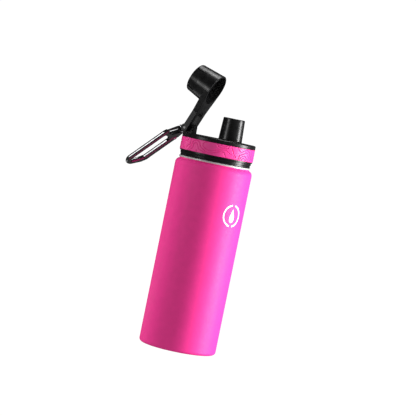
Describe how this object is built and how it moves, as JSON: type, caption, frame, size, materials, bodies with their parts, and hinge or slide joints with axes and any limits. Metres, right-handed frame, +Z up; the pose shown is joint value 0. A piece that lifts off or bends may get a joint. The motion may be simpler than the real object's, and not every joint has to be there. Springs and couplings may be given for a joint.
{
  "type": "insulated spout bottle",
  "caption": "Double-wall steel drinks bottle with a screw-on spout lid, a flip cap on a forked arm and a clip-on carabiner behind the hinge.",
  "frame": {"origin": "centre of the flat foot ring that the bottle stands on, on the bottle's axis", "axes": "+Z up the bottle's axis; +X from the cap's hinge toward the spout; the hinge pin is parallel to Y"},
  "size_m": [0.1212, 0.073, 0.2649],
  "materials": {
    "powder_coat": "satin powder coat, fine orange peel",
    "steel": "brushed",
    "polished_steel": "polished",
    "black_plastic": "semi-gloss moulded",
    "band_plastic": "satin with raised contour lines",
    "silicone": "matte translucent white",
    "dark_metal": "dark anodised, glossy"
  },
  "bodies": {
    "bottle": {"outer_shell": "powder_coat", "base_plate": "steel", "vacuum_seal_plug": "steel", "inner_vessel": "steel", "neck_ring": "polished_steel"},
    "lid_lift_body": {"lid_gasket": "silicone"},
    "lid": {"lid_liner": "black_plastic", "grip_band": "band_plastic", "lid_top": "black_plastic", "hinge_pin": "polished_steel"},
    "cap_arm": {"spout_cap": "black_plastic", "cap_seal": "silicone"},
    "carabiner": {"carabiner_frame": "dark_metal", "gate_rivet": "polished_steel"},
    "gate": {"carabiner_gate": "dark_metal", "gate_spring": "steel"}
  },
  "joints": [
    {"name": "lid_lift", "type": "slide", "parent": "bottle", "child": "lid_lift_body", "axis": [0, 0, 1], "range_m": [0, 0.016]},
    {"name": "lid_turn", "type": "hinge", "parent": "lid_lift_body", "child": "lid", "pos_m": [0, 0, 0.186], "axis": [0, 0, 1], "range_deg": [0, 1440]},
    {"name": "cap_hinge", "type": "hinge", "parent": "lid", "child": "cap_arm", "pos_m": [-0.0329, 0, 0.2042], "axis": [0, -1, 0], "range_deg": [-67.5, 44]},
    {"name": "carabiner_swing", "type": "hinge", "parent": "lid", "child": "carabiner", "pos_m": [-0.0392, 0, 0.2029], "axis": [0, 1, 0], "range_deg": [-42, 42]},
    {"name": "gate_pivot", "type": "hinge", "parent": "carabiner", "child": "gate", "pos_m": [-0.04783, 0.00634, 0.19314], "axis": [-0.6953, 0.1392, 0.7051], "range_deg": [0, 22], "stiffness_Nm_per_rad": 0.05, "springref_deg": -5.73}
  ],
  "couplings": [
    {"joint": "lid_lift", "follows": "lid_turn", "m_per_rad": 0.00063662}
  ]
}
